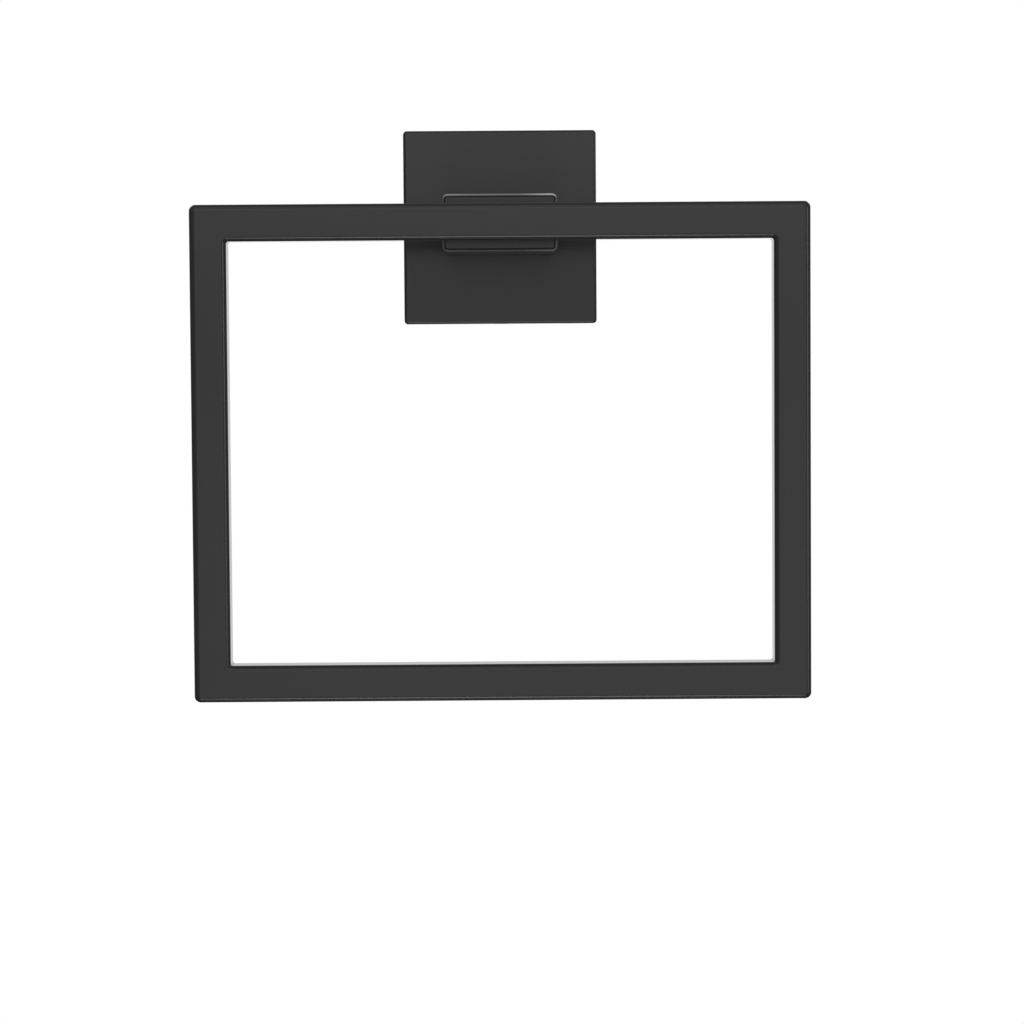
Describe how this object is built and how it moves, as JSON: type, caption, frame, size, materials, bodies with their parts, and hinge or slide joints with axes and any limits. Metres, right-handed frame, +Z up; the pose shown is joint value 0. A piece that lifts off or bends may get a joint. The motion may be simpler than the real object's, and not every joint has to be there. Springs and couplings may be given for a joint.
{
  "type": "towel ring",
  "caption": "Fixed square towel ring for a wall: a closed rectangle of square bar on a short rectangular neck, with a square cover over a hidden bracket.",
  "frame": {"origin": "centre of the cover on the wall plane, on the axis of the neck", "axes": "+X to the right along the ring's long side, +Y into the wall, +Z up; the front faces -Y"},
  "size_m": [0.16, 0.05, 0.1499],
  "materials": {
    "black_finish": "satin",
    "steel": "satin"
  },
  "bodies": {
    "root": {"ring": "black_finish", "neck": "black_finish", "neck_end_plug": "black_finish", "cover": "black_finish", "neck_anchor": "steel", "neck_screw": "steel", "wall_bracket": "steel", "grub_screw": "steel"}
  },
  "joints": []
}
